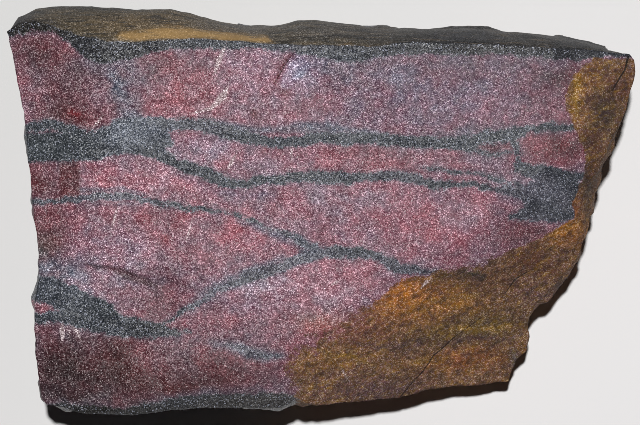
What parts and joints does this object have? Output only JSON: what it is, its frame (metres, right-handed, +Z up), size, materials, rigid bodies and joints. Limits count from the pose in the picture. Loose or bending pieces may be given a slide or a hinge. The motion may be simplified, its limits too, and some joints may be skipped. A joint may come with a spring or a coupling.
{
  "type": "banded ironstone hand specimen",
  "caption": "Blocky hand specimen of banded ironstone: a broken face of red jasper crossed by dark hematite bands, with a rusty weathered corner, lying on a small flat spot.",
  "frame": {"origin": "middle of the stone's footprint, on the surface that it lies on", "axes": "+X along the bands, +Y across them towards the tan-stained upper side, +Z up out of the broken banded face"},
  "size_m": [0.127, 0.0826, 0.0426],
  "materials": {
    "ironstone": "broken jasper and specular hematite, sugary and sparkling, with rusty weathering"
  },
  "bodies": {
    "root": {"banded_ironstone": "ironstone"}
  },
  "joints": []
}
